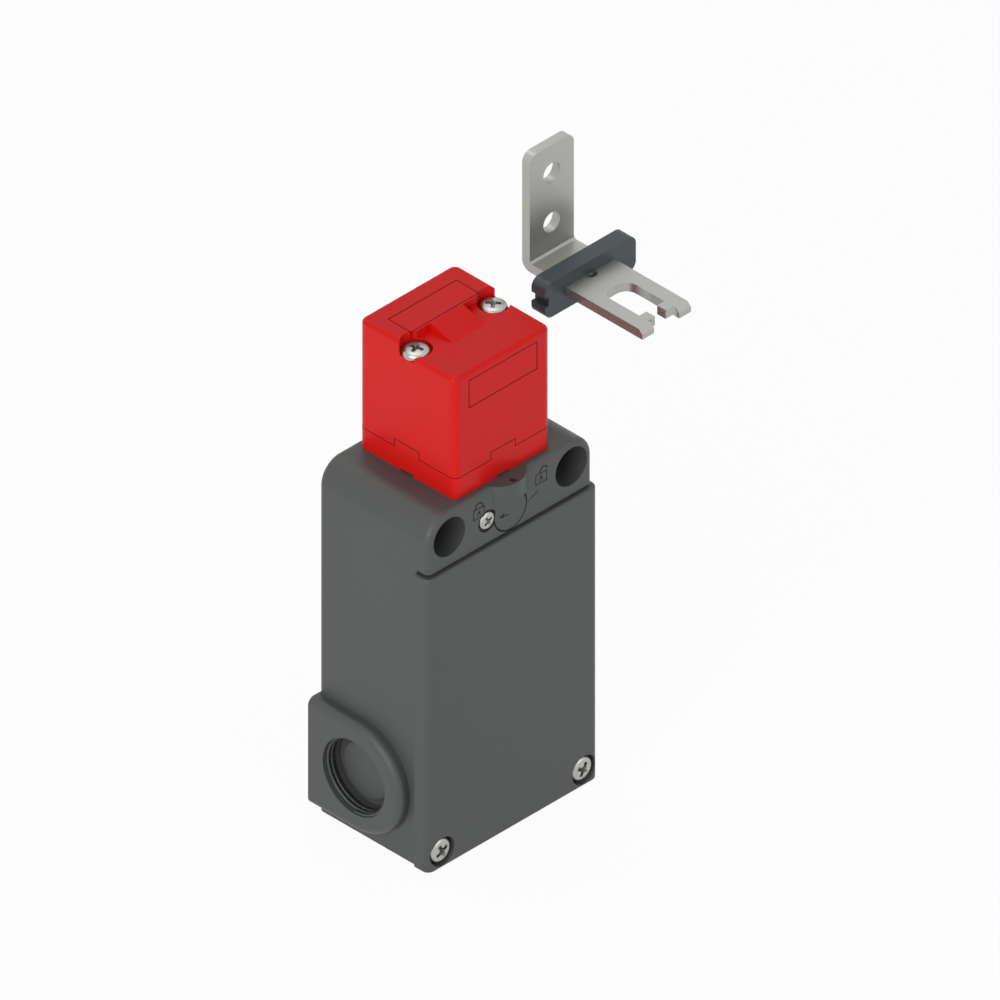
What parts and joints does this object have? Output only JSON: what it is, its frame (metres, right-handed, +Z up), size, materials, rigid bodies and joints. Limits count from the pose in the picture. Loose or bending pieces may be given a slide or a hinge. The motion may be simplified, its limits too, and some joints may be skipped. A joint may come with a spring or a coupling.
{
  "type": "tongue interlock switch",
  "caption": "Key operated safety switch with a lockable key, a turning head, a release dial and a screwed front cover.",
  "frame": {"origin": "centre of the housing's bottom face, where the bottom cable entry opens", "axes": "+Z up towards the head, -Y towards the cover, +X to the right seen from the cover"},
  "size_m": [0.0873, 0.0453, 0.1581],
  "materials": {
    "grey_plastic": "moulded, fine satin",
    "red_plastic": "moulded, glossy",
    "seal_rubber": "soft matte",
    "brass_insert": "plain",
    "zinc_steel": "zinc plated",
    "spring_steel": "drawn wire",
    "zinc_casting": "cast",
    "white_plastic": "moulded",
    "black_plastic": "moulded",
    "coil_tape": "wound tape",
    "contact_metal": "stamped",
    "stainless_plate": "stamped and bent",
    "collar_plastic": "moulded"
  },
  "bodies": {
    "frame": {"housing": "grey_plastic", "cover_inserts": "brass_insert", "solenoid_yoke": "zinc_steel", "pole_core": "zinc_steel", "coil_bobbin": "black_plastic", "coil_winding": "coil_tape", "coil_terminal": "black_plastic", "coil_terminal_screws": "zinc_steel", "contact_block_left": "black_plastic", "contact_block_right": "black_plastic", "fixed_contacts_left": "contact_metal", "fixed_contacts_right": "contact_metal", "terminal_screws_left": "zinc_steel", "terminal_screws_right": "zinc_steel", "contact_spring_left": "spring_steel", "contact_spring_right": "spring_steel", "armature_spring": "spring_steel", "mount_screws": "zinc_steel", "earth_plate": "brass_insert", "earth_screw": "zinc_steel", "dial_screw": "zinc_steel"},
    "front_cover": {"cover": "grey_plastic", "cover_gasket": "seal_rubber", "cover_screws": "zinc_steel"},
    "head": {"head_shell": "red_plastic", "head_base": "red_plastic", "head_seal": "seal_rubber", "head_clip": "zinc_steel", "head_screws": "zinc_steel", "drum_axle": "zinc_steel"},
    "drum": {"cam_drum": "zinc_casting"},
    "front_plug": {"slot_plug_front": "red_plastic"},
    "top_plug": {"slot_plug_top": "red_plastic"},
    "plunger": {"drive_plunger": "white_plastic"},
    "key_carriage": {"carriage_left": "white_plastic", "bridges_left": "contact_metal"},
    "lock": {"armature": "zinc_steel", "lock_rod": "zinc_steel", "lock_arm": "zinc_steel"},
    "lock_carriage": {"carriage_right": "white_plastic", "bridges_right": "contact_metal"},
    "dial": {"release_dial": "grey_plastic", "dial_seal": "seal_rubber", "release_cam": "white_plastic"},
    "key": {"key_plate": "stainless_plate", "key_collar": "collar_plastic"}
  },
  "joints": [
    {"name": "cover_open", "type": "hinge", "parent": "frame", "child": "front_cover", "pos_m": [0, -0.019, 0.0832], "axis": [-1, 0, 0], "range_deg": [0, 40]},
    {"name": "head_turn", "type": "hinge", "parent": "frame", "child": "head", "pos_m": [0, 0.0002, 0.0986], "axis": [0, 0, 1], "range_deg": [-90, 180]},
    {"name": "drum_turn", "type": "hinge", "parent": "head", "child": "drum", "pos_m": [0, 0.0002, 0.1188], "axis": [-1, 0, 0], "range_deg": [0, 80]},
    {"name": "plunger_slide", "type": "slide", "parent": "frame", "child": "plunger", "axis": [0, 0, 1], "range_m": [0, 0.003]},
    {"name": "key_carriage_slide", "type": "slide", "parent": "frame", "child": "key_carriage", "axis": [0, 0, 1], "range_m": [0, 0.003], "deforming": ["contact_spring_left"]},
    {"name": "lock_slide", "type": "slide", "parent": "frame", "child": "lock", "axis": [0, 0, 1], "range_m": [0, 0.0035], "stiffness_N_per_m": 250, "springref_m": -0.002, "deforming": ["armature_spring"]},
    {"name": "lock_carriage_slide", "type": "slide", "parent": "frame", "child": "lock_carriage", "axis": [0, 0, 1], "range_m": [0, 0.0035], "deforming": ["contact_spring_right"]},
    {"name": "dial_turn", "type": "hinge", "parent": "frame", "child": "dial", "pos_m": [0, -0.018, 0.0894], "axis": [0, -1, 0], "range_deg": [-180, 0]},
    {"name": "front_plug_pull", "type": "slide", "parent": "head", "child": "front_plug", "axis": [0, -1, 0], "range_m": [0, 0.01]},
    {"name": "top_plug_pull", "type": "slide", "parent": "head", "child": "top_plug", "axis": [0, 0, 1], "range_m": [0, 0.01]},
    {"name": "key_slide", "type": "slide", "parent": "frame", "child": "key", "axis": [0, -1, 0], "range_m": [0, 0.025]}
  ],
  "couplings": [
    {"joint": "drum_turn", "follows": "plunger_slide", "rad_per_m": 465.42},
    {"joint": "key_carriage_slide", "follows": "plunger_slide", "ratio": 1},
    {"joint": "lock_carriage_slide", "follows": "lock_slide", "ratio": 1}
  ]
}
